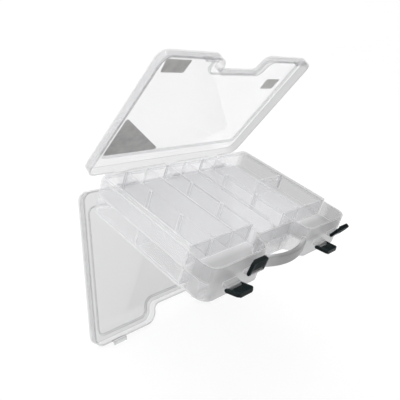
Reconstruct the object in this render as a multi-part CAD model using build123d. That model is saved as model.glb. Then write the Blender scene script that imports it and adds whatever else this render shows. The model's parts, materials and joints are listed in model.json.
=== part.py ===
from build123d import *
import os

# Double-sided tackle box: one moulded tray with compartments above and below a
# middle floor, a clear lid on each side, hinge knuckles at mid height on the
# rear wall, four snap latches on the front wall and nine lift-out dividers.
#
# The parts are built about the middle of the tray: X runs across the width, Y
# from the front wall (0) to the rear wall, Z up from the middle floor. Turning
# the box half a turn about the Y axis swaps the two sides, so the lower half
# of every feature is the upper half turned over.

# ---- tray ----
width = 330.0
depth = 230.0
wall_height = 50.0
wall = 2.0
floor_thickness = 2.0
front_corner = 18.0
rear_corner = 12.0
ledge_width = 4.6
ledge_thickness = 2.0
lip_inset = 3.0
lip_rise = 5.5
join = 0.5  # how far one moulded feature runs into the next

# ---- hand notch and handle ----
notch_half_width = 50.0
notch_depth = 28.0
notch_outer_radius = 15.0
notch_inner_radius = 11.0
handle_reach = 11.5
handle_thickness = 8.0
handle_height = 17.0
handle_radius = 118.0
handle_half_length = 63.0
handle_rounding = 2.5

# ---- compartments of one side ----
column = 41.0
first_divider_x = -120.0
row_front = 45.0
row_breaks = (103.0, 168.0)
wide_column_wall_y = 133.0
partition = 1.6
divider = 1.4
post_half_width = 1.9
post_half_length = 3.0
post_gap = 0.3
post_web = 0.8
post_below_lip = 1.0
divider_end_gap = 0.4
divider_floor_gap = 0.2
divider_corner = 2.5

# ---- lids ----
lid_grow = 2.4
lid_front_corner = 16.0
lid_edge_radius = 1.2
lid_wall = 2.0
lid_panel = 1.8
lid_depth = 14.5
lid_gap = 0.3
panel_side_inset = 14.0
panel_rear_inset = 24.0
panel_front_inset = 9.0
panel_notch_margin = 9.0
panel_step = 2.5
panel_corner = 10.0
panel_notch_corner = 16.0
upper_lid_open = 65.7
lower_lid_open = 64.0

# ---- rear hinge ----
hinge_axis_behind = 3.2
hinge_axis_height = 3.1
knuckle_radius = 2.8
knuckle_length = 24.0
lug_width = 6.0
lug_gap = 0.4
hinge_pin_radius = 1.25
hinge_bore_radius = 1.30
hinge_stations = (-105.0, 0.0, 105.0)
arm_front = 0.9
arm_thickness = 2.2
arm_overlap = 8.0
arm_relief = 1.0

# ---- latches ----
latch_width = 30.5
latch_length = 19.6
latch_half_thickness = 2.5
latch_bar_radius = 1.65
latch_bore_radius = 1.72
latch_ring_radius = 3.0
latch_slot_end = 5.0
latch_slot_half = 12.6
latch_pivot_front = 9.5
latch_pivot_height = 5.6
latch_corner = 3.5
first_rib = 8.2
rib_pitch = 2.3
rib_count = 5
bracket_half_width = 12.0
bracket_drop = 5.0
hook_reach = 1.2
hook_thickness = 1.8
latch_chamfer = 0.6
latch_rim = 2.2
latch_rim_low = 2.0
rib_radius = 0.6
rib_side_margin = 3.5
bar_side_margin = 1.0
gusset_slope = 1.5
gusset_overlap = 0.2
upper_latch_x = (-87.2, 125.4)
upper_latch_open = (6.0, 27.0)
lower_latch_x = (-125.4, 87.2)
lower_latch_open = (109.0, 98.5)

# ---- catches on the lids ----
catch_half_width = 11.5
catch_reach = 4.6
catch_drop = 5.3
catch_height = 3.0
catch_tab_front = 0.6
catch_tab_back = 1.4
catch_tab_overlap = 3.0
catch_rounding = 0.8

# ---- blank labels on the upper lid ----
label_thickness = 0.25
label_gap = 0.05
label_corner_radius = 3.0
label_margin = 3.5
corner_label_size = (107.0, 81.0)
left_label_size = (46.0, 23.0)
left_label_slant = (4.0, 1.0)
right_label_corners = ((99.0, 46.0), (136.0, 46.0), (134.0, 68.0), (100.0, 68.0))

half_height = wall_height / 2
lip_top = half_height + lip_rise
rim_z = half_height + lid_gap
lid_top_z = rim_z + lid_depth
hinge_y = depth + hinge_axis_behind


def block(x0, x1, y0, y1, z0, z1):
    """Box between two corners."""
    size = Box(x1 - x0, y1 - y0, z1 - z0)
    return Pos((x0 + x1) / 2, (y0 + y1) / 2, (z0 + z1) / 2) * size


def rod_x(x0, x1, y, z, radius):
    """Cylinder along X."""
    rod = Cylinder(radius, x1 - x0, rotation=(0, 90, 0))
    return Pos((x0 + x1) / 2, y, z) * rod


def notched_rectangle(half_width, front, rear, half_notch, notch_end, radii):
    """Plan outline with the hand notch in its front edge."""
    front_r, rear_r, mouth_r, notch_r = radii
    points = [
        (-half_width, front),
        (-half_notch, front),
        (-half_notch, notch_end),
        (half_notch, notch_end),
        (half_notch, front),
        (half_width, front),
        (half_width, rear),
        (-half_width, rear),
    ]
    face = make_face(Polyline(*points, close=True))
    rounding = [front_r, mouth_r, notch_r, notch_r, mouth_r, front_r, rear_r, rear_r]
    for radius in sorted(set(rounding)):
        corners = []
        for vertex in face.vertices():
            for point, own_radius in zip(points, rounding):
                near = abs(vertex.X - point[0]) + abs(vertex.Y - point[1]) < 0.01
                if near and own_radius == radius:
                    corners.append(vertex)
        face = fillet(corners, radius)
    return face


def grown_outline(grow, front_r):
    """Outline of the tray grown outwards, with front corners of a given radius."""
    radii = (
        front_r,
        rear_corner + grow,
        notch_outer_radius + grow,
        notch_inner_radius - grow,
    )
    return notched_rectangle(
        width / 2 + grow,
        -grow,
        depth + grow,
        notch_half_width - grow,
        notch_depth - grow,
        radii,
    )


def plan(grow):
    """Outline of the tray, grown outwards by the given amount."""
    return grown_outline(grow, front_corner + grow)


def lid_plan(inset):
    """Outline of a lid, drawn in by the given amount from its outer face."""
    return grown_outline(lid_grow - inset, lid_front_corner - inset)


def panel_plan(grow):
    """Outline of the stepped middle panel of a lid."""
    radii = (
        panel_corner + grow,
        panel_corner + grow,
        panel_corner + grow,
        panel_notch_corner - grow,
    )
    return notched_rectangle(
        width / 2 - panel_side_inset + grow,
        panel_front_inset - grow,
        depth - panel_rear_inset + grow,
        notch_half_width + panel_notch_margin - grow,
        notch_depth + panel_notch_margin - grow,
        radii,
    )


def prism(face, z0, z1):
    """Extrude a plan outline between two heights."""
    return Pos(0, 0, z0) * extrude(face, amount=z1 - z0, dir=(0, 0, 1))


def turned_over(shape):
    """The same shape on the other side of the box."""
    return Rot(0, 180, 0) * shape


# ---------------------------------------------------------------- tray

def side_partitions():
    """Moulded walls between the compartments of one side."""
    base = floor_thickness / 2 - join
    rear_low = depth - wall / 2
    rear_high = depth - lip_inset - join
    side_low = width / 2 - wall / 2
    side_high = width / 2 - lip_inset - join
    t = partition / 2
    walls = []
    for step in (1, 3, 5):
        x = first_divider_x + step * column
        walls.append(block(x - t, x + t, row_front, rear_low, base, half_height))
        walls.append(block(x - t, x + t, row_front, rear_high, base, lip_top))
    left_end = first_divider_x + 2 * column
    right_start = first_divider_x + 4 * column
    last_wall = first_divider_x + 5 * column
    y0 = row_front - t
    y1 = row_front + t
    walls.append(block(-side_low, left_end + t, y0, y1, base, half_height))
    walls.append(block(-side_high, left_end + t, y0, y1, base, lip_top))
    walls.append(block(right_start - t, side_low, y0, y1, base, half_height))
    walls.append(block(right_start - t, side_high, y0, y1, base, lip_top))
    y2 = wide_column_wall_y - t
    y3 = wide_column_wall_y + t
    walls.append(block(last_wall, side_low, y2, y3, base, half_height))
    walls.append(block(last_wall, side_high, y2, y3, base, lip_top))
    # short walls that carry on to the back of the hand notch
    for step in (2, 3, 4):
        x = first_divider_x + step * column
        end = notch_depth + wall / 2
        walls.append(block(x - t, x + t, end, row_front + t, base, half_height))
    return walls


def guide_post(x, y, front, back):
    """Upright with a slot that a lift-out divider drops into."""
    base = floor_thickness / 2
    top = lip_top - post_below_lip
    post = block(x - post_half_width, x + post_half_width, y - front, y + back, base - join, top)
    slot_half = divider / 2 + post_gap
    slots = []
    if front > post_web:
        slots.append(block(x - slot_half, x + slot_half, y - front - 1, y - post_web, base, lip_top))
    if back > post_web:
        slots.append(block(x - slot_half, x + slot_half, y + post_web, y + back + 1, base, lip_top))
    return post - slots


def side_guides():
    """Guide posts for the three rows of lift-out dividers of one side."""
    posts = []
    for step in (0, 2, 4):
        x = first_divider_x + step * column
        posts.append(guide_post(x, row_front, 0.0, post_half_length))
        for y in row_breaks:
            posts.append(guide_post(x, y, post_half_length, post_half_length))
        rear = depth - ledge_width
        posts.append(guide_post(x, rear + post_web, post_half_length + post_web, 0.0))
    return posts


def side_lip():
    """Ledge and raised lip round the rear three quarters of one side."""
    ledge = prism(plan(0), half_height - ledge_thickness, half_height)
    ledge -= prism(plan(-ledge_width), half_height - ledge_thickness - 1, half_height + 1)
    lip = prism(plan(-lip_inset), half_height - join, lip_top)
    lip -= prism(plan(-ledge_width), half_height - 1, lip_top + 1)
    keep = block(-width, width, row_front - partition / 2, depth + 1, 0, lip_top + 1)
    return (ledge & keep) + (lip & keep)


def latch_bracket(x):
    """Ring bracket on the front wall that the bar of an upper latch turns in."""
    y = -latch_pivot_front
    z = latch_pivot_height
    x0 = x - bracket_half_width
    x1 = x + bracket_half_width
    shape = rod_x(x0, x1, y, z, latch_ring_radius)
    shape += block(x0, x1, y, wall / 2, z - latch_ring_radius, z + join)
    gusset_top = z - latch_ring_radius + gusset_overlap
    profile = Polyline(
        (wall / 2, gusset_top),
        (y, gusset_top),
        (y + gusset_slope, z - bracket_drop),
        (wall / 2, z - bracket_drop),
        close=True,
    )
    gusset = extrude(Plane.YZ * make_face(profile), amount=x1 - x0, dir=(1, 0, 0))
    shape += Pos(x0, 0, 0) * gusset
    return shape - rod_x(x0 - 1, x1 + 1, y, z, latch_bore_radius)


def handle():
    """Bowed carrying bar across the hand notch."""
    outer = Cylinder(handle_radius, handle_height)
    inner = Cylinder(handle_radius - handle_thickness, handle_height + 2)
    ring = Pos(0, handle_radius - handle_reach, 0) * (outer - inner)
    edges = ring.edges().filter_by(GeomType.CIRCLE)
    ring = fillet(edges, handle_rounding)
    near = block(-handle_half_length, handle_half_length, -20, 30, -half_height, half_height)
    return ring & near


def hinge_lug(x0):
    """Plate on the rear wall that carries both hinge pins."""
    x1 = x0 + lug_width
    shape = block(x0, x1, depth - wall / 2, hinge_y, -hinge_axis_height, hinge_axis_height)
    for side in (-1, 1):
        z = side * hinge_axis_height
        shape += rod_x(x0, x1, hinge_y, z, knuckle_radius)
        low = min(z, z + side * knuckle_radius)
        shape += block(x0, x1, depth - wall / 2, hinge_y, low, low + knuckle_radius)
    for side in (-1, 1):
        z = side * hinge_axis_height
        shape -= rod_x(x0 - 1, x1 + 1, hinge_y, z, hinge_bore_radius)
    return shape


def lug_starts(station):
    """Left edges of the two lugs either side of a knuckle."""
    reach = knuckle_length / 2 + lug_gap
    return (station - reach - lug_width, station + reach)


def make_tray():
    """The one-piece body: walls, middle floor, partitions, handle and hinge lugs."""
    shell = prism(plan(0), -half_height, half_height)
    cavity = prism(plan(-wall), -lip_top - 1, lip_top + 1)
    shell -= cavity
    floor_plate = prism(plan(-wall / 2), -floor_thickness / 2, floor_thickness / 2)
    side = side_lip()
    for piece in side_partitions():
        side += piece
    for piece in side_guides():
        side += piece
    for x in upper_latch_x:
        side += latch_bracket(x)
    body = shell + floor_plate + side + turned_over(side)
    body += handle() - cavity
    for station in hinge_stations:
        for x0 in lug_starts(station):
            body += hinge_lug(x0)
    return body


# ---------------------------------------------------------------- lids

def make_closed_lid():
    """Upper lid in its closed place; the lower lid is the same moulding."""
    outer = prism(lid_plan(0), rim_z, lid_top_z)
    top_edges = outer.edges().group_by(Axis.Z)[-1]
    outer = fillet(top_edges, lid_edge_radius)
    pocket = prism(panel_plan(0), lid_top_z - panel_step, lid_top_z + 1)
    ceiling = lid_top_z - lid_panel
    inside = prism(lid_plan(lid_wall), rim_z - 1, ceiling)
    inside -= prism(panel_plan(lid_panel), ceiling - panel_step, ceiling + 1)
    lid = outer - pocket - inside
    for x in upper_latch_x:
        lid += lid_catch(x)
    for station in hinge_stations:
        lid += hinge_arm(station)
    for station in hinge_stations:
        reach = knuckle_length / 2 + arm_relief
        lid -= rod_x(station - reach, station + reach, hinge_y, hinge_axis_height, hinge_bore_radius)
    return lid


def lid_catch(x):
    """Tab below the front skirt with a ridge that a latch hooks over."""
    x0 = x - catch_half_width
    x1 = x + catch_half_width
    z0 = rim_z - catch_drop
    tab_y0 = -lid_grow - catch_tab_front
    tab_y1 = -lid_grow + catch_tab_back
    tab = block(x0, x1, tab_y0, tab_y1, z0, rim_z + catch_tab_overlap)
    ridge = block(x0, x1, -lid_grow - catch_reach, -lid_grow, z0, z0 + catch_height)
    front = ridge.edges().filter_by(Axis.X).group_by(Axis.Y)[0]
    return tab + fillet(front, catch_rounding)


def hinge_arm(station):
    """Strap from the rear skirt down to the knuckle on the hinge axis."""
    x0 = station - knuckle_length / 2
    x1 = station + knuckle_length / 2
    y0 = depth + arm_front
    strap = block(x0, x1, y0, y0 + arm_thickness, hinge_axis_height, rim_z + arm_overlap)
    return strap + rod_x(x0, x1, hinge_y, hinge_axis_height, knuckle_radius)


def opened(shape, angle):
    """Swing a closed upper lid, or what is fixed to it, open about its hinge."""
    axis = Axis((0, hinge_y, hinge_axis_height), (-1, 0, 0))
    return shape.rotate(axis, angle)


def make_hinge_pins():
    """Three short pins, one through each upper knuckle and its lugs."""
    reach = knuckle_length / 2 + lug_gap + lug_width
    pins = []
    for station in hinge_stations:
        pins.append(rod_x(station - reach, station + reach, hinge_y, hinge_axis_height, hinge_pin_radius))
    return Compound(children=pins)


# ---------------------------------------------------------------- labels

def make_label(points):
    """Thin blank sticker on the outside of the upper lid's panel, lid closed."""
    z0 = lid_top_z - panel_step + label_gap
    face = make_face(Polyline(*points, close=True))
    face = fillet(face.vertices(), label_corner_radius)
    return prism(face, z0, z0 + label_thickness)


def label_outlines():
    """Plan outlines of the three blank stickers."""
    left = -width / 2 + panel_side_inset + label_margin
    rear = depth - panel_rear_inset - label_margin
    across, down = corner_label_size
    corner = [(left, rear), (left, rear - down), (left + across, rear)]
    front = panel_front_inset + label_margin
    length, height = left_label_size
    slant_left, slant_right = left_label_slant
    wide = [
        (left, front),
        (left + length, front),
        (left + length - slant_right, front + height),
        (left + slant_left, front + height),
    ]
    return {"label_corner": corner, "label_left": wide, "label_right": right_label_corners}


# ---------------------------------------------------------------- latches

def make_latch(x):
    """Snap latch on an upper bracket, in its closed place."""
    h = latch_half_thickness
    w = latch_width / 2
    hook_z = latch_length - hook_thickness
    plate = block(-w, w, -h, h, latch_slot_end, latch_length)
    free_edges = plate.edges().filter_by(Axis.Y).group_by(Axis.Z)[-1]
    plate = fillet(free_edges, latch_corner)
    outer_edges = plate.edges().group_by(Axis.Y)[0]
    plate = chamfer(outer_edges, latch_chamfer)
    hollow_half = w - latch_rim
    plate -= block(-hollow_half, hollow_half, 0, h + 1, latch_slot_end + latch_rim_low, hook_z)
    latch = plate
    for side in (-1, 1):
        inner = side * latch_slot_half
        outer = side * w
        low = min(inner, outer)
        high = max(inner, outer)
        latch += block(low, high, -h, h, 0, latch_slot_end + join)
        latch += rod_x(low, high, 0, 0, h)
    bar_half = w - bar_side_margin
    latch += rod_x(-bar_half, bar_half, 0, 0, latch_bar_radius)
    latch += block(-catch_half_width, catch_half_width, h - 1, h + hook_reach, hook_z, latch_length)
    rib_half = w - rib_side_margin
    for index in range(rib_count):
        z = first_rib + index * rib_pitch
        latch += rod_x(-rib_half, rib_half, -h, z, rib_radius)
    return Pos(x, -latch_pivot_front, latch_pivot_height) * latch


def latch_opened(shape, angle):
    """Swing a closed upper latch outwards about its bar."""
    axis = Axis((0, -latch_pivot_front, latch_pivot_height), (1, 0, 0))
    return shape.rotate(axis, angle)


# ---------------------------------------------------------------- dividers

def make_divider(column_index, row_index):
    """Lift-out divider that drops between two guide posts of the upper side."""
    x = first_divider_x + 2 * column_index * column
    stops = (row_front,) + row_breaks + (depth - ledge_width + post_web,)
    y0 = stops[row_index] + post_web + divider_end_gap
    y1 = stops[row_index + 1] - post_web - divider_end_gap
    z0 = floor_thickness / 2 + divider_floor_gap
    blade = block(x - divider / 2, x + divider / 2, y0, y1, z0, lip_top)
    top_corners = blade.edges().filter_by(Axis.X).group_by(Axis.Z)[-1]
    return fillet(top_corners, divider_corner)


# ---------------------------------------------------------------- output

def all_parts():
    """Every node in the open rest position, about the middle of the tray."""
    parts = {"tray": make_tray()}
    lid = make_closed_lid()
    parts["upper_lid"] = opened(lid, upper_lid_open)
    parts["lower_lid"] = turned_over(opened(lid, lower_lid_open))
    pins = make_hinge_pins()
    parts["upper_hinge_pins"] = pins
    parts["lower_hinge_pins"] = turned_over(pins)
    for name, outline in label_outlines().items():
        parts[name] = opened(make_label(outline), upper_lid_open)
    sides = ("left", "right")
    for side, x, angle in zip(sides, upper_latch_x, upper_latch_open):
        parts["latch_upper_" + side] = latch_opened(make_latch(x), angle)
    for side, x, angle in zip(sides, lower_latch_x, lower_latch_open):
        parts["latch_lower_" + side] = turned_over(latch_opened(make_latch(-x), angle))
    for column_index in range(3):
        for row_index in range(3):
            name = "divider_" + "abc"[column_index] + str(row_index + 1)
            parts[name] = make_divider(column_index, row_index)
    return parts


os.makedirs("parts", exist_ok=True)
parts = all_parts()
boxes = [shape.bounding_box() for shape in parts.values()]
low_y = min(box.min.Y for box in boxes)
high_y = max(box.max.Y for box in boxes)
low_z = min(box.min.Z for box in boxes)
# the origin is the middle of the whole object's footprint, at its lowest point
to_row = Pos(0, -(low_y + high_y) / 2, -low_z)
for name, shape in parts.items():
    placed = to_row * shape
    export_step(placed, "parts/" + name + ".step")
print("shift y", -(low_y + high_y) / 2, "shift z", -low_z)
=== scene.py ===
import bpy
import json
from mathutils import Matrix, Vector


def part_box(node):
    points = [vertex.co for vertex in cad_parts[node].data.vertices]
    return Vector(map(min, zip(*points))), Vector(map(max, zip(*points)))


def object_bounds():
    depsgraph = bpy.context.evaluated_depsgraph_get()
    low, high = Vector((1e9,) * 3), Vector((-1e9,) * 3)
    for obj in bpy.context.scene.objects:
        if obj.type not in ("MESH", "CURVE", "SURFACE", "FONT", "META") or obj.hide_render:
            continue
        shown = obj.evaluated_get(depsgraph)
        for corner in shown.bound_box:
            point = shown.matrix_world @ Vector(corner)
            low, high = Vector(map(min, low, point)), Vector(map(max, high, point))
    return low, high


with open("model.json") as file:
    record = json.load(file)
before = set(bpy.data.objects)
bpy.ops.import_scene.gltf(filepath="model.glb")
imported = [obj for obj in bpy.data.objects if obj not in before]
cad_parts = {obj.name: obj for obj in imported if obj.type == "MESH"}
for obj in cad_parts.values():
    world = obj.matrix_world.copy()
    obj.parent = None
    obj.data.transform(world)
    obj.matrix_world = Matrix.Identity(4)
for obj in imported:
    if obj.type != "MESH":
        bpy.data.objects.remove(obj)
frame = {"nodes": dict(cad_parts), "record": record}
cad_low, cad_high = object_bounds()
scene = bpy.context.scene
nodes = frame["nodes"]
record = frame["record"]

# ---------------------------------------------------------------- read from the frame, in metres

tray_low, tray_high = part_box("tray")
tray_middle = (tray_low[2] + tray_high[2]) / 2
openings = {space["name"]: space["box_m"] for space in record["physics"]["openings"]}
hand_gap_to_front = 0.0028
front_wall_y = openings["hand_gap"][0][1] - hand_gap_to_front
row_wall_y = (openings["upper_front_left"][1][1] + openings["upper_a1"][0][1]) / 2
rear_wall_y = openings["upper_a1"][1][1]
slot_of = {row["node"]: row["material_slot"] for row in record["subparts"]}
lid_sides = {mount["name"]: mount["axis"] for mount in record["mounts"]}
hinges = {joint["child"]: joint.get("pos_m") for joint in record["behaviour"]["joints"]}

# ---------------------------------------------------------------- where the finishes lie, in metres

# Each pair says where a mask is 0 and where it is 1.
ahead_of_row_wall = (0.003, 0.014)
behind_row_wall = (0.002, 0.001)
behind_front_wall = (0.010, 0.003)
ahead_of_front_wall = (0.0, 0.0006)
ring_ahead_of_front_wall = (0.0061, 0.0065)
ahead_of_rear_wall = (0.002, 0.001)
# the latch brackets lie outside this distance from the middle, and the handle inside it
bracket_from_middle = (0.066, 0.067)
floor_from_middle = (0.003, 0.002)
# painted shade: over this x range the tray's right wall is tinted darker, for the shade on that
# side
tray_right_shade = (0.150, 0.163)
# painted shade: over this x range a lid's skirt is tinted darker, for the shade on that side
lid_right_shade = (0.150, 0.164)
# a hinge strap's free part, then its reach over the lid's skirt, both from the hinge axis
strap_radius = (0.0215, 0.0205)
strap_reach = (0.0325, 0.0315)
strap_half_width = (0.0140, 0.0130)
strap_pitch = 0.105
# width of the lines where an edge catches the light
tray_line = 0.0014
divider_line = 0.0012
lid_line = 0.0007
latch_line = 0.0005

# ---------------------------------------------------------------- looks, from 0 to 1

# Pairs again say where a mask is 0 and where it is 1, or its two values there.
SQUARE_ON = (0.7, 0.9)
PANEL_SQUARE_ON = (0.80, 0.97)
EDGE_LIKENESS = (0.99, 0.93)
NOISE_SPREAD = (0.2, 0.8)
TONE_STOPS = (0.3, 0.7)
FILM_STOPS = (0.35, 0.65)
PLASTIC_IOR = 1.49
TRANSLUCENT_SHARE = 0.5
GLANCING_BLEND = 0.3
MILKY_ROUGHNESS = (0.03, 0.07)
MILKY_COVER = (0.04, 0.35)

TRAY_CLEAR = (0.982, 0.990)
# painted shade: clear tint of the tray's right wall
TRAY_RIGHT_SHADE = 0.76
# painted shade: darker clear tint for faces that look along Y behind the row wall, where light
# falls weakly
TRAY_CROSS_SHADE = 0.915
TRAY_BODY = 0.94
TRAY_FRONT_BODY = 0.68
TRAY_HANDLE_BODY = 0.42
# painted highlight: the tray's edge lines get a white body, standing in for the light they catch
TRAY_EDGE_HIGHLIGHT_BODY = 1.0
TRAY_SHARE = (0.60, 0.85)
TRAY_FLOOR_SHARE = 0.95
# painted highlight: the edge lines are covered with milky plastic, standing in for the light they
# catch
TRAY_EDGE_HIGHLIGHT_COVER = 0.9
TRAY_FLOOR_COVER = 0.6
TRAY_FRONT_COVER = 0.38
TRAY_SKIN_COVER = 0.58
TRAY_REAR_COVER = 0.32
TRAY_RING_COVER = 0.7
TRAY_HANDLE_COVER = 0.85

DIVIDER_CLEAR = (0.976, 0.986)
DIVIDER_BODY = (0.93, 0.96)
DIVIDER_SHARE = (0.45, 0.55)
# painted highlight: the dividers' edges are mostly covered with milky plastic, standing in for the
# light they catch
DIVIDER_EDGE_HIGHLIGHT_COVER = 0.7

UPPER_LID_TINT = 0.955
LOWER_LID_TINT = 0.832
LID_TINT_VARIATION = 0.012
LID_SKIRT_CLEAR = 0.92
# painted shade: clear tint of a lid skirt's right end
LID_RIGHT_SHADE = 0.80
LID_STRAP_CLEAR = 0.985
# painted shade: the lids' edges are drawn as dark lines, standing in for the dark their refraction
# shows
LID_EDGE_SHADE_CLEAR = 0.16
LID_SKIRT_BODY = 0.75
LID_PANEL_BODY = 0.9
# painted shade: body of the dark edge lines
LID_EDGE_SHADE_BODY = 0.25
LID_SKIRT_SHARE = 0.14
LID_PANEL_SHARE = 0.06
# painted shade: milky share of the dark edge lines
LID_EDGE_SHADE_SHARE = 0.2
LID_COVER = (0.06, 0.35)
LID_ROUGHNESS = (0.01, 0.04)

LATCH_DARK = (0.003, 0.006, 0.007)
LATCH_LIGHT = (0.006, 0.011, 0.012)
# painted highlight: light teal on the latches' edges and ribs
LATCH_EDGE_HIGHLIGHT = (0.045, 0.080, 0.085)
LATCH_ROUGHNESS = (0.30, 0.46)
LATCH_SPECULAR = 0.12

STEEL_DARK = (0.82, 0.82, 0.83)
STEEL_LIGHT = (0.92, 0.92, 0.92)
STEEL_ROUGHNESS = (0.26, 0.42)

FILM_DARK = (0.37, 0.365, 0.345)
FILM_LIGHT = (0.52, 0.515, 0.49)
FILM_ROUGHNESS = (0.45, 0.6)

# ---------------------------------------------------------------- stage values

CAMERA_AT = Vector((-0.5806, -0.3793, 0.5874))
CAMERA_RIGHT = Vector((0.6512, -0.7071, 0.2756)).normalized()
CAMERA_FORWARD = Vector((0.7518, 0.5514, -0.3616)).normalized()
SENSOR_WIDTH = 36.0
LENS = 45.33
SHIFT = (-0.0466, -0.1200)
CLIP = (0.02, 60.0)

WORLD_STRENGTH = 1.02
DARK_SIDE = (0.757, -0.626, 0.185)
# (place, brightness) from opposite the world's dark side, at 0, to the dark side itself, at 1
WORLD_STOPS = ((0.50, 1.0), (0.68, 0.75), (0.84, 0.25), (1.0, 0.12))

KEY_OFFSET = Vector((-0.3, 1.1, 1.8))
KEY_SIZE = 2.2
KEY_POWER = 12.0

FLOOR_HALF_WIDTH = 30.0
FLOOR_BELOW = 0.0006
FLOOR_TONES = (0.34, 0.36)
FLOOR_ROUGHNESS = 0.8
FLOOR_SPECULAR = 0.1
FLOOR_GLOW = 0.72

BEVEL_SAMPLES = 6
LINE_SAMPLES = 8
# light passes through many thin walls, so it needs more bounces than usual
BOUNCES = {
    "transparent_max_bounces": 64,
    "max_bounces": 64,
    "diffuse_bounces": 16,
    "glossy_bounces": 32,
    "transmission_bounces": 48,
}


def make_camera():
    data = bpy.data.cameras.new("camera")
    data.sensor_width = SENSOR_WIDTH
    data.lens = LENS
    data.shift_x, data.shift_y = SHIFT
    data.clip_start, data.clip_end = CLIP
    camera = bpy.data.objects.new("camera", data)
    scene.collection.objects.link(camera)
    back = -CAMERA_FORWARD
    right = (CAMERA_RIGHT - back * CAMERA_RIGHT.dot(back)).normalized()
    up = back.cross(right)
    turn = Matrix((right, up, back)).transposed()
    camera.matrix_world = Matrix.Translation(CAMERA_AT) @ turn.to_4x4()
    scene.camera = camera


# ---------------------------------------------------------------- nodes

def feed(nt, socket, value):
    """Link a socket to another one, or set it to a plain value."""
    if isinstance(value, bpy.types.NodeSocket):
        nt.links.new(value, socket)
    else:
        socket.default_value = value


def set_stops(ramp, stops):
    """Give a colour ramp its (place, colour) stops."""
    stops = list(stops)
    while len(ramp.elements) < len(stops):
        ramp.elements.new(0.5)
    for element, (place, colour) in zip(ramp.elements, stops):
        element.position = place
        element.color = (*colour, 1.0)


def grey(value):
    """Grey with a hint of blue."""
    return (value, value, value * 1.004)


class Tree:
    """Short names for building one material's nodes."""

    def __init__(self, name):
        self.material = bpy.data.materials.new(name)
        self.material.use_nodes = True
        self.nt = self.material.node_tree
        self.nt.nodes.clear()
        self.out = self.nt.nodes.new("ShaderNodeOutputMaterial")
        self.coords = self.nt.nodes.new("ShaderNodeTexCoord").outputs["Object"]

    def add(self, kind, **inputs):
        node = self.nt.nodes.new("ShaderNode" + kind)
        for name, value in inputs.items():
            feed(self.nt, node.inputs[name.replace("_", " ")], value)
        return node

    def noise(self, scale, detail=3.0, rough=0.5, stretch=None):
        vector = self.coords
        if stretch is not None:
            mapping = self.add("Mapping", Vector=vector)
            mapping.inputs["Scale"].default_value = stretch
            vector = mapping.outputs[0]
        node = self.add("TexNoise", Vector=vector, Scale=scale, Detail=detail, Roughness=rough)
        return node.outputs["Fac"]

    def fit(self, value, low, high, out_low=0.0, out_high=1.0):
        """Number that goes from out_low to out_high as the value goes from low to high."""
        node = self.add("MapRange", Value=value)
        node.inputs["From Min"].default_value = low
        node.inputs["From Max"].default_value = high
        node.inputs["To Min"].default_value = out_low
        node.inputs["To Max"].default_value = out_high
        return node.outputs[0]

    def between(self, mask, low, high):
        """Number that goes from low to high as the mask goes from 0 to 1."""
        return self.fit(mask, 0.0, 1.0, low, high)

    def roughness(self, pattern, limits):
        """Roughness that follows a noise pattern between two limits."""
        return self.fit(pattern, *NOISE_SPREAD, *limits)

    def colours(self, value, places, first, second):
        """Colour that goes from the first to the second between two places on the value."""
        node = self.add("ValToRGB", Fac=value)
        set_stops(node.color_ramp, zip(places, (first, second)))
        return node.outputs[0]

    def greys(self, value, tones):
        """Grey that goes from one tone to the other over a noise pattern."""
        return self.colours(value, TONE_STOPS, grey(tones[0]), grey(tones[1]))

    def maths(self, operation, a, b=0.0):
        node = self.nt.nodes.new("ShaderNodeMath")
        node.operation = operation
        feed(self.nt, node.inputs[0], a)
        feed(self.nt, node.inputs[1], b)
        return node.outputs[0]

    def times(self, a, b):
        return self.maths("MULTIPLY", a, b)

    def larger(self, a, b):
        return self.maths("MAXIMUM", a, b)

    def dot(self, a, b):
        """Dot product of two directions."""
        node = self.nt.nodes.new("ShaderNodeVectorMath")
        node.operation = "DOT_PRODUCT"
        feed(self.nt, node.inputs[0], a)
        feed(self.nt, node.inputs[1], b)
        return node.outputs["Value"]

    def blend(self, mask, first, second):
        """Colour that goes from the first to the second as the mask goes from 0 to 1."""
        node = self.nt.nodes.new("ShaderNodeMix")
        node.data_type = "RGBA"
        colour_inputs = [socket for socket in node.inputs if socket.type == "RGBA"]
        self.nt.links.new(mask, node.inputs["Factor"])
        for socket, value in zip(colour_inputs, (first, second)):
            if isinstance(value, tuple):
                value = (*value, 1.0)
            feed(self.nt, socket, value)
        colour_outputs = [socket for socket in node.outputs if socket.type == "RGBA"]
        return colour_outputs[0]

    def bump(self, height, strength, distance, rounding=0.0):
        """Normal from a height, over edges that look rounded by a radius."""
        node = self.add("Bump", Height=height, Strength=strength, Distance=distance)
        if rounding > 0:
            bevel = self.add("Bevel", Radius=rounding)
            bevel.samples = BEVEL_SAMPLES
            self.nt.links.new(bevel.outputs[0], node.inputs["Normal"])
        return node.outputs[0]

    def mix_shaders(self, share, first, second):
        """Shader that is the first at 0 and the second at 1."""
        node = self.add("MixShader", Fac=share)
        self.nt.links.new(first.outputs[0], node.inputs[1])
        self.nt.links.new(second.outputs[0], node.inputs[2])
        return node

    def finish(self, shader):
        self.nt.links.new(shader.outputs[0], self.out.inputs["Surface"])
        return self.material


def face_towards(t, axis):
    """How squarely a face looks along an axis, from 0 to 1."""
    normal = t.add("TexCoord").outputs["Normal"]
    return t.maths("ABSOLUTE", t.dot(normal, axis))


def near_edge(t, radius):
    """1 along the sharp edges of a piece, 0 on its flat faces."""
    bevel = t.add("Bevel", Radius=radius)
    bevel.samples = LINE_SAMPLES
    likeness = t.dot(bevel.outputs[0], t.add("NewGeometry").outputs["Normal"])
    return t.fit(likeness, *EDGE_LIKENESS)


def glancing_cover(t, limits):
    """Cover that grows where a wall is seen at a glancing angle."""
    facing = t.add("LayerWeight", Blend=GLANCING_BLEND).outputs["Facing"]
    return t.between(facing, *limits)


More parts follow.
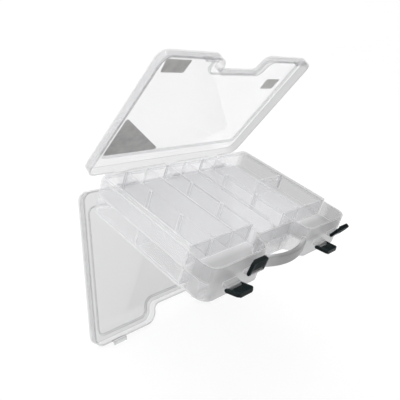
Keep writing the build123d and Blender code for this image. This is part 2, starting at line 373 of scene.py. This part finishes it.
def thin_plastic(t, clear, body, share, normal, roughness, cover):
    """Clear moulding: part of the light goes straight through, part is bent, part is scattered.

    share is how much of the covered part is milky, and cover how much isn't seen straight through.
    """
    glass = t.add("BsdfPrincipled", Base_Color=clear, Normal=normal, Roughness=roughness)
    glass.inputs["IOR"].default_value = PLASTIC_IOR
    glass.inputs["Transmission Weight"].default_value = 1.0
    solid = t.add("BsdfPrincipled", Base_Color=body, Normal=normal, Roughness=roughness)
    through = t.add("BsdfTranslucent", Color=body, Normal=normal)
    haze = t.mix_shaders(TRANSLUCENT_SHARE, solid, through)
    whole = t.mix_shaders(share, glass, haze)
    window = t.add("BsdfTransparent", Color=clear)
    return t.mix_shaders(cover, window, whole)


# ---------------------------------------------------------------- materials

def tray_masks(t):
    """Where on the tray each of its finishes, painted highlights and painted shades lies, from 0 to
    1.
    """
    place = t.add("SeparateXYZ", Vector=t.coords)
    x = place.outputs["X"]
    y = place.outputs["Y"]
    sideways = t.maths("ABSOLUTE", x)
    outside = t.fit(y, *(front_wall_y - ahead for ahead in ahead_of_front_wall))
    bracket = t.times(outside, t.fit(sideways, *bracket_from_middle))
    outer = t.fit(y, *(front_wall_y - ahead for ahead in ring_ahead_of_front_wall))
    crosswise = t.fit(face_towards(t, (0.0, 1.0, 0.0)), *SQUARE_ON)
    to_row_wall = t.fit(y, *(row_wall_y + behind for behind in behind_row_wall))
    level = t.fit(face_towards(t, (0.0, 0.0, 1.0)), *SQUARE_ON)
    from_middle = t.maths("ABSOLUTE", t.maths("SUBTRACT", place.outputs["Z"], tray_middle))
    return {
        "front": t.fit(y, *(row_wall_y - ahead for ahead in ahead_of_row_wall)),
        "handle": t.times(outside, t.fit(sideways, *reversed(bracket_from_middle))),
        "bracket": bracket,
        "ring": t.times(bracket, outer),
        # painted shade on the right wall
        "right": t.fit(x, *tray_right_shade),
        # painted shade: faces that look along Y, behind the row wall
        "cross": t.times(crosswise, to_row_wall),
        "floor": t.times(level, t.fit(from_middle, *floor_from_middle)),
        # painted highlight along the sharp edges, kept off the latch brackets
        "edge": t.times(near_edge(t, tray_line), t.between(bracket, 1.0, 0.0)),
        "skin": t.fit(y, *(front_wall_y + behind for behind in behind_front_wall)),
        "rear": t.fit(y, *(rear_wall_y - ahead for ahead in ahead_of_rear_wall)),
    }


def frosted_plastic():
    """The tray: milky in front, on the handle and the middle floor, clearer between, with painted
    highlights on its edges and painted shade on its right wall and on the faces that look along Y
    behind the row wall.
    """
    t = Tree("tray_frosted")
    tone = t.noise(scale=9.0, detail=4.0)
    grain = t.noise(scale=900.0, detail=2.0)
    masks = tray_masks(t)
    clear = t.greys(tone, TRAY_CLEAR)
    # painted shade: the right wall is tinted darker
    clear = t.blend(masks["right"], clear, grey(TRAY_RIGHT_SHADE))
    # painted shade on the faces that look along Y behind the row wall
    clear = t.blend(masks["cross"], clear, grey(TRAY_CROSS_SHADE))
    body = t.colours(masks["front"], (0.0, 1.0), grey(TRAY_BODY), grey(TRAY_FRONT_BODY))
    body = t.blend(masks["handle"], body, grey(TRAY_HANDLE_BODY))
    body = t.blend(masks["bracket"], body, grey(TRAY_FRONT_BODY))
    # painted highlight: white body on the edge lines
    body = t.blend(masks["edge"], body, grey(TRAY_EDGE_HIGHLIGHT_BODY))
    share = t.between(masks["front"], *TRAY_SHARE)
    share = t.larger(share, masks["edge"])
    share = t.larger(share, t.between(masks["floor"], 0.0, TRAY_FLOOR_SHARE))
    cover = glancing_cover(t, MILKY_COVER)
    covers = (
        ("edge", TRAY_EDGE_HIGHLIGHT_COVER),
        ("floor", TRAY_FLOOR_COVER),
        ("front", TRAY_FRONT_COVER),
        ("skin", TRAY_SKIN_COVER),
        ("rear", TRAY_REAR_COVER),
    )
    for name, amount in covers:
        cover = t.larger(cover, t.between(masks[name], 0.0, amount))
    cover = t.times(cover, t.between(masks["ring"], 1.0, TRAY_RING_COVER))
    cover = t.larger(cover, t.between(masks["handle"], 0.0, TRAY_HANDLE_COVER))
    normal = t.bump(grain, strength=0.05, distance=0.0002)
    roughness = t.roughness(grain, MILKY_ROUGHNESS)
    return t.finish(thin_plastic(t, clear, body, share, normal, roughness, cover))


def divider_plastic():
    """Lift-out dividers: thinner and clearer than the tray, with painted highlights on their edges,
    which are made milkier there.
    """
    t = Tree("divider_milky")
    tone = t.noise(scale=14.0, detail=3.0)
    grain = t.noise(scale=700.0, detail=2.0)
    # painted highlight along the dividers' edges
    edge = near_edge(t, divider_line)
    clear = t.greys(tone, DIVIDER_CLEAR)
    body = t.greys(tone, DIVIDER_BODY)
    share = t.larger(t.between(grain, *DIVIDER_SHARE), edge)
    cover = glancing_cover(t, MILKY_COVER)
    cover = t.larger(cover, t.between(edge, 0.0, DIVIDER_EDGE_HIGHLIGHT_COVER))
    normal = t.bump(grain, strength=0.04, distance=0.0002)
    roughness = t.roughness(grain, MILKY_ROUGHNESS)
    return t.finish(thin_plastic(t, clear, body, share, normal, roughness, cover))


def strap_masks(t, place, hinge):
    """Where a lid's hinge straps are, and where they or what lies under them show no painted dark
    edge line.
    """
    behind = t.maths("SUBTRACT", place.outputs["Y"], hinge[1])
    above = t.maths("SUBTRACT", place.outputs["Z"], hinge[2])
    away = t.maths("ADD", t.times(behind, behind), t.times(above, above))
    strap = t.fit(away, *(radius ** 2 for radius in strap_radius))
    sideways = t.maths("ABSOLUTE", place.outputs["X"])
    from_outer_strap = t.maths("ABSOLUTE", t.maths("SUBTRACT", sideways, strap_pitch))
    from_strap = t.maths("MINIMUM", sideways, from_outer_strap)
    beside = t.fit(from_strap, *strap_half_width)
    overlap = t.times(beside, t.fit(away, *(radius ** 2 for radius in strap_reach)))
    return strap, t.larger(strap, overlap)


def clear_plastic(name, tint, side, hinge):
    """A lid: clear panel of a given tint that looks along side, a milkier skirt with painted shade
    at its right end, and painted dark lines on its edges.
    """
    t = Tree(name)
    tone = t.noise(scale=7.0, detail=3.0)
    flow = t.noise(scale=12.0, detail=2.0, stretch=(1.0, 0.35, 1.0))
    panel_face = t.fit(face_towards(t, side), *PANEL_SQUARE_ON)
    place = t.add("SeparateXYZ", Vector=t.coords)
    strap, unlined = strap_masks(t, place, hinge)
    # painted shade: dark lines along the lid's edges, kept off the straps
    edge = t.times(near_edge(t, lid_line), t.between(unlined, 1.0, 0.0))
    # painted shade at the skirt's right end
    right = t.fit(place.outputs["X"], *lid_right_shade)
    panel = t.greys(tone, (tint, tint + LID_TINT_VARIATION))
    skirt = t.blend(right, grey(LID_SKIRT_CLEAR), grey(LID_RIGHT_SHADE))
    skirt = t.blend(strap, skirt, grey(LID_STRAP_CLEAR))
    clear = t.blend(panel_face, skirt, panel)
    # painted shade: the edge lines get a dark tint and body
    clear = t.blend(edge, clear, grey(LID_EDGE_SHADE_CLEAR))
    body = t.blend(panel_face, grey(LID_SKIRT_BODY), grey(LID_PANEL_BODY))
    body = t.blend(edge, body, grey(LID_EDGE_SHADE_BODY))
    cover = glancing_cover(t, LID_COVER)
    share = t.between(panel_face, LID_SKIRT_SHARE, LID_PANEL_SHARE)
    share = t.larger(share, t.between(edge, 0.0, LID_EDGE_SHADE_SHARE))
    normal = t.bump(flow, strength=0.01, distance=0.002)
    roughness = t.roughness(flow, LID_ROUGHNESS)
    return t.finish(thin_plastic(t, clear, body, share, normal, roughness, cover))


def black_plastic():
    """Latches: nearly black, with a painted teal highlight along the edges and ribs."""
    t = Tree("latch_black")
    tone = t.noise(scale=60.0, detail=4.0)
    grain = t.noise(scale=1400.0, detail=2.0)
    colour = t.colours(tone, TONE_STOPS, LATCH_DARK, LATCH_LIGHT)
    # painted highlight along the edges and ribs
    colour = t.blend(near_edge(t, latch_line), colour, LATCH_EDGE_HIGHLIGHT)
    normal = t.bump(grain, strength=0.25, distance=0.0002, rounding=latch_line)
    roughness = t.roughness(grain, LATCH_ROUGHNESS)
    shader = t.add("BsdfPrincipled", Base_Color=colour, Normal=normal, Roughness=roughness)
    shader.inputs["Specular IOR Level"].default_value = LATCH_SPECULAR
    return t.finish(shader)


def steel():
    """Hinge pins: bright drawn wire."""
    t = Tree("pin_steel")
    lines = t.noise(scale=160.0, rough=0.6, stretch=(0.15, 6.0, 6.0))
    colour = t.colours(lines, TONE_STOPS, STEEL_DARK, STEEL_LIGHT)
    normal = t.bump(lines, strength=0.2, distance=0.0002)
    roughness = t.roughness(lines, STEEL_ROUGHNESS)
    shader = t.add("BsdfPrincipled", Base_Color=colour, Normal=normal, Roughness=roughness)
    shader.inputs["Metallic"].default_value = 1.0
    return t.finish(shader)


def label_film():
    """Blank stickers: mottled grey film."""
    t = Tree("label_film")
    tone = t.noise(scale=70.0, detail=5.0, rough=0.6)
    grain = t.noise(scale=1200.0, detail=2.0)
    colour = t.colours(tone, FILM_STOPS, FILM_DARK, FILM_LIGHT)
    normal = t.bump(grain, strength=0.1, distance=0.0001)
    roughness = t.roughness(grain, FILM_ROUGHNESS)
    shader = t.add("BsdfPrincipled", Base_Color=colour, Normal=normal, Roughness=roughness)
    return t.finish(shader)


def floor_pale():
    t = Tree("floor_pale")
    dark, light = FLOOR_TONES
    cloud = t.noise(scale=3.0, detail=2.0)
    colour = t.colours(cloud, TONE_STOPS, (dark, dark, dark), (light, light, light))
    shader = t.add("BsdfPrincipled", Base_Color=colour)
    shader.inputs["Roughness"].default_value = FLOOR_ROUGHNESS
    shader.inputs["Specular IOR Level"].default_value = FLOOR_SPECULAR
    shader.inputs["Emission Color"].default_value = (1.0, 1.0, 1.0, 1.0)
    shader.inputs["Emission Strength"].default_value = FLOOR_GLOW
    return t.finish(shader)


# ---------------------------------------------------------------- stage

def make_world():
    """Soft light from all round, darker on one side, behind a plain white backdrop."""
    world = bpy.data.worlds.new("studio")
    scene.world = world
    world.use_nodes = True
    nt = world.node_tree
    nt.nodes.clear()
    out = nt.nodes.new("ShaderNodeOutputWorld")
    light = nt.nodes.new("ShaderNodeBackground")
    light.inputs["Strength"].default_value = WORLD_STRENGTH
    ramp = nt.nodes.new("ShaderNodeValToRGB")
    set_stops(ramp.color_ramp, [(place, (value, value, value)) for place, value in WORLD_STOPS])
    facing = nt.nodes.new("ShaderNodeVectorMath")
    facing.operation = "DOT_PRODUCT"
    facing.inputs[1].default_value = DARK_SIDE
    coords = nt.nodes.new("ShaderNodeTexCoord")
    nt.links.new(coords.outputs["Generated"], facing.inputs[0])
    shift = nt.nodes.new("ShaderNodeMapRange")
    shift.inputs["From Min"].default_value = -1.0
    nt.links.new(facing.outputs["Value"], shift.inputs["Value"])
    nt.links.new(shift.outputs[0], ramp.inputs["Fac"])
    nt.links.new(ramp.outputs[0], light.inputs["Color"])
    backdrop = nt.nodes.new("ShaderNodeBackground")
    backdrop.inputs["Color"].default_value = (1.0, 1.0, 1.0, 1.0)
    path = nt.nodes.new("ShaderNodeLightPath")
    both = nt.nodes.new("ShaderNodeMixShader")
    nt.links.new(path.outputs["Is Camera Ray"], both.inputs[0])
    nt.links.new(light.outputs[0], both.inputs[1])
    nt.links.new(backdrop.outputs[0], both.inputs[2])
    nt.links.new(both.outputs[0], out.inputs["Surface"])


def make_key_light():
    """Large square lamp above and behind the box, aimed at its middle."""
    middle = (cad_low + cad_high) / 2
    data = bpy.data.lights.new("key", "AREA")
    data.shape = "SQUARE"
    data.size = KEY_SIZE
    data.energy = KEY_POWER
    light = bpy.data.objects.new("key", data)
    scene.collection.objects.link(light)
    light.location = middle + KEY_OFFSET
    light.rotation_euler = (-KEY_OFFSET).to_track_quat("-Z", "Y").to_euler()


def make_floor():
    mesh = bpy.data.meshes.new("floor")
    s = FLOOR_HALF_WIDTH
    mesh.from_pydata([(-s, -s, 0), (s, -s, 0), (s, s, 0), (-s, s, 0)], [], [(0, 1, 2, 3)])
    floor = bpy.data.objects.new("floor", mesh)
    scene.collection.objects.link(floor)
    floor.location.z = -FLOOR_BELOW
    mesh.materials.append(floor_pale())


# ---------------------------------------------------------------- put together

def assign(node, material):
    """Give a node its material, whether or not it has a slot for one."""
    if node.material_slots:
        for slot in node.material_slots:
            slot.material = material
    else:
        node.data.materials.append(material)


make_camera()
make_world()
make_floor()
make_key_light()

materials = {
    "tray_plastic": frosted_plastic(),
    "divider_plastic": divider_plastic(),
    "latch_plastic": black_plastic(),
    "pin_steel": steel(),
    "label_film": label_film(),
}
lid_tints = {"upper_lid": UPPER_LID_TINT, "lower_lid": LOWER_LID_TINT}
lid_materials = {}
for name, tint in lid_tints.items():
    side = lid_sides[name + "_face"]
    lid_materials[name] = clear_plastic(name + "_clear", tint, side, hinges[name])
for name, node in nodes.items():
    assign(node, lid_materials.get(name) or materials[slot_of[name]])

scene.view_settings.view_transform = "Standard"
for name, count in BOUNCES.items():
    setattr(scene.cycles, name, count)
